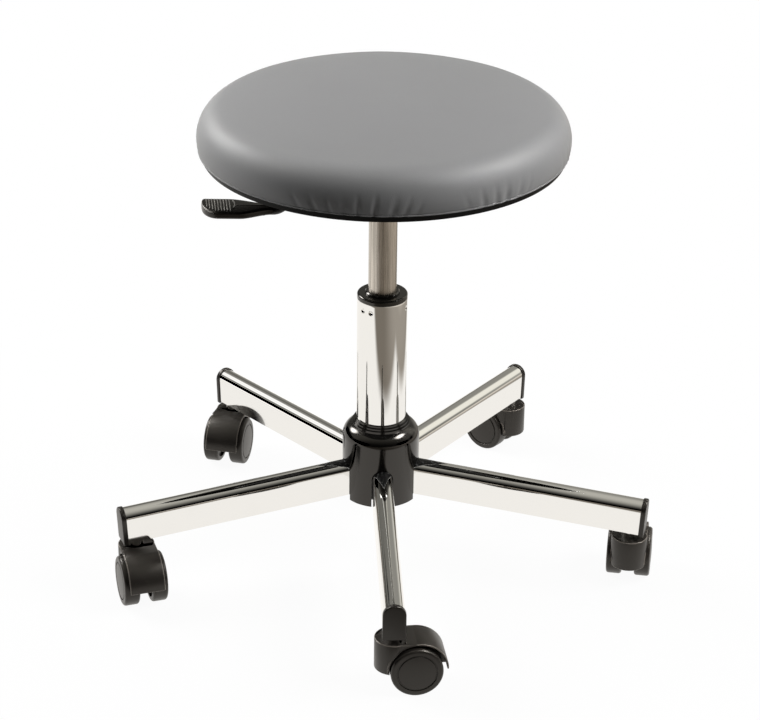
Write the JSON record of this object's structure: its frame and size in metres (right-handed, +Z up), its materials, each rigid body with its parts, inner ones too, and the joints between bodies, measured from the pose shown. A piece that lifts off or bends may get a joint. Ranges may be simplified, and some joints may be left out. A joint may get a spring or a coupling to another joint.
{
  "type": "wheeled stool",
  "caption": "Round padded operator's stool on a gas lift with a release lever, a chrome column and a star base of arched tubes on hooded twin-wheel casters.",
  "frame": {"origin": "on the floor, on the axis of the column", "axes": "+Z up along the column; +Y away from the viewer of the picture, +X to that viewer's right"},
  "size_m": [0.5416, 0.5426, 0.492],
  "materials": {
    "chrome": "polished",
    "charcoal_plastic": "matte moulded",
    "wheel_plastic": "matte moulded",
    "steel": "plain",
    "black_paint": "satin",
    "black_plastic": "semi-gloss",
    "nickel": "brushed",
    "rubber": "matte",
    "plywood": "raw",
    "foam": "open cell",
    "leatherette": "satin"
  },
  "bodies": {
    "base": {"leg_front": "chrome", "leg_right": "chrome", "leg_right_back": "chrome", "leg_left_back": "chrome", "leg_left": "chrome", "end_cap_front": "charcoal_plastic", "end_cap_right": "charcoal_plastic", "end_cap_right_back": "charcoal_plastic", "end_cap_left_back": "charcoal_plastic", "end_cap_left": "charcoal_plastic", "stem_sockets": "steel", "leg_welds": "black_paint", "hub": "black_paint", "hub_cover": "black_plastic", "column_tube": "chrome", "guide_bush": "black_plastic", "bearing_lower_washer": "steel", "bearing_balls": "steel"},
    "lift_rod": {"gas_rod": "steel", "bearing_upper_washer": "steel", "rod_clip": "steel", "bump_stop": "rubber"},
    "seat": {"gas_cylinder": "nickel", "seat_plate": "black_paint", "taper_socket": "black_paint", "lever_pivot": "steel", "seat_pan": "black_plastic", "seat_board": "plywood", "seat_foam": "foam", "seat_cover": "leatherette", "seat_screws": "steel", "t_nuts": "steel"},
    "lever": {"lever_rod": "black_paint", "lever_handle": "black_plastic"},
    "valve": {"valve_pin": "steel"},
    "caster_front": {"caster_hood_front": "charcoal_plastic", "caster_stem_front": "steel", "caster_axle_front": "steel"},
    "wheel_front_left": {"caster_wheel_front_left": "wheel_plastic"},
    "wheel_front_right": {"caster_wheel_front_right": "wheel_plastic"},
    "caster_right": {"caster_hood_right": "charcoal_plastic", "caster_stem_right": "steel", "caster_axle_right": "steel"},
    "wheel_right_left": {"caster_wheel_right_left": "wheel_plastic"},
    "wheel_right_right": {"caster_wheel_right_right": "wheel_plastic"},
    "caster_right_back": {"caster_hood_right_back": "charcoal_plastic", "caster_stem_right_back": "steel", "caster_axle_right_back": "steel"},
    "wheel_right_back_left": {"caster_wheel_right_back_left": "wheel_plastic"},
    "wheel_right_back_right": {"caster_wheel_right_back_right": "wheel_plastic"},
    "caster_left_back": {"caster_hood_left_back": "charcoal_plastic", "caster_stem_left_back": "steel", "caster_axle_left_back": "steel"},
    "wheel_left_back_left": {"caster_wheel_left_back_left": "wheel_plastic"},
    "wheel_left_back_right": {"caster_wheel_left_back_right": "wheel_plastic"},
    "caster_left": {"caster_hood_left": "charcoal_plastic", "caster_stem_left": "steel", "caster_axle_left": "steel"},
    "wheel_left_left": {"caster_wheel_left_left": "wheel_plastic"},
    "wheel_left_right": {"caster_wheel_left_right": "wheel_plastic"}
  },
  "joints": [
    {"name": "seat_swivel", "type": "hinge", "parent": "base", "child": "lift_rod", "pos_m": [0, 0, 0.08], "axis": [0, 0, 1], "continuous": true},
    {"name": "seat_height", "type": "slide", "parent": "lift_rod", "child": "seat", "axis": [0, 0, 1], "range_m": [-0.08, 0.05]},
    {"name": "lever_lift", "type": "hinge", "parent": "seat", "child": "lever", "pos_m": [-0.022, 0, 0.4225], "axis": [0, 1, 0], "range_deg": [0, 8], "stiffness_Nm_per_rad": 4, "springref_deg": -8.59},
    {"name": "valve_press", "type": "slide", "parent": "seat", "child": "valve", "axis": [0, 0, -1], "range_m": [0, 0.0034]},
    {"name": "caster_swivel_front", "type": "hinge", "parent": "base", "child": "caster_front", "pos_m": [0.01355, -0.25865, 0.05], "axis": [0, 0, 1], "continuous": true},
    {"name": "wheel_spin_front_left", "type": "hinge", "parent": "caster_front", "child": "wheel_front_left", "pos_m": [0.03336, -0.25586, 0.025], "axis": [-0.1392, 0.9903, 0], "continuous": true},
    {"name": "wheel_spin_front_right", "type": "hinge", "parent": "caster_front", "child": "wheel_front_right", "pos_m": [0.03336, -0.25586, 0.025], "axis": [-0.1392, 0.9903, 0], "continuous": true},
    {"name": "caster_swivel_right", "type": "hinge", "parent": "base", "child": "caster_right", "pos_m": [0.25017, -0.06703, 0.05], "axis": [0, 0, 1], "continuous": true},
    {"name": "wheel_spin_right_left", "type": "hinge", "parent": "caster_right", "child": "wheel_right_left", "pos_m": [0.2533, -0.04728, 0.025], "axis": [-0.9877, 0.1564, 0], "continuous": true},
    {"name": "wheel_spin_right_right", "type": "hinge", "parent": "caster_right", "child": "wheel_right_right", "pos_m": [0.2533, -0.04728, 0.025], "axis": [-0.9877, 0.1564, 0], "continuous": true},
    {"name": "caster_swivel_right_back", "type": "hinge", "parent": "base", "child": "caster_right_back", "pos_m": [0.14106, 0.21722, 0.05], "axis": [0, 0, 1], "continuous": true},
    {"name": "wheel_spin_right_back_left", "type": "hinge", "parent": "caster_right_back", "child": "wheel_right_back_left", "pos_m": [0.12574, 0.23007, 0.025], "axis": [-0.6428, -0.766, 0], "continuous": true},
    {"name": "wheel_spin_right_back_right", "type": "hinge", "parent": "caster_right_back", "child": "wheel_right_back_right", "pos_m": [0.12574, 0.23007, 0.025], "axis": [-0.6428, -0.766, 0], "continuous": true},
    {"name": "caster_swivel_left_back", "type": "hinge", "parent": "base", "child": "caster_left_back", "pos_m": [-0.16299, 0.20128, 0.05], "axis": [0, 0, 1], "continuous": true},
    {"name": "wheel_spin_left_back_left", "type": "hinge", "parent": "caster_left_back", "child": "wheel_left_back_left", "pos_m": [-0.16749, 0.18179, 0.025], "axis": [0.9744, -0.225, 0], "continuous": true},
    {"name": "wheel_spin_left_back_right", "type": "hinge", "parent": "caster_left_back", "child": "wheel_left_back_right", "pos_m": [-0.16749, 0.18179, 0.025], "axis": [0.9744, -0.225, 0], "continuous": true},
    {"name": "caster_swivel_left", "type": "hinge", "parent": "base", "child": "caster_left", "pos_m": [-0.2418, -0.09282, 0.05], "axis": [0, 0, 1], "continuous": true},
    {"name": "wheel_spin_left_left", "type": "hinge", "parent": "caster_left", "child": "wheel_left_left", "pos_m": [-0.23562, -0.11184, 0.025], "axis": [0.9511, 0.309, 0], "continuous": true},
    {"name": "wheel_spin_left_right", "type": "hinge", "parent": "caster_left", "child": "wheel_left_right", "pos_m": [-0.23562, -0.11184, 0.025], "axis": [0.9511, 0.309, 0], "continuous": true}
  ],
  "couplings": [
    {"joint": "valve_press", "follows": "lever_lift", "m_per_rad": 0.0235}
  ]
}
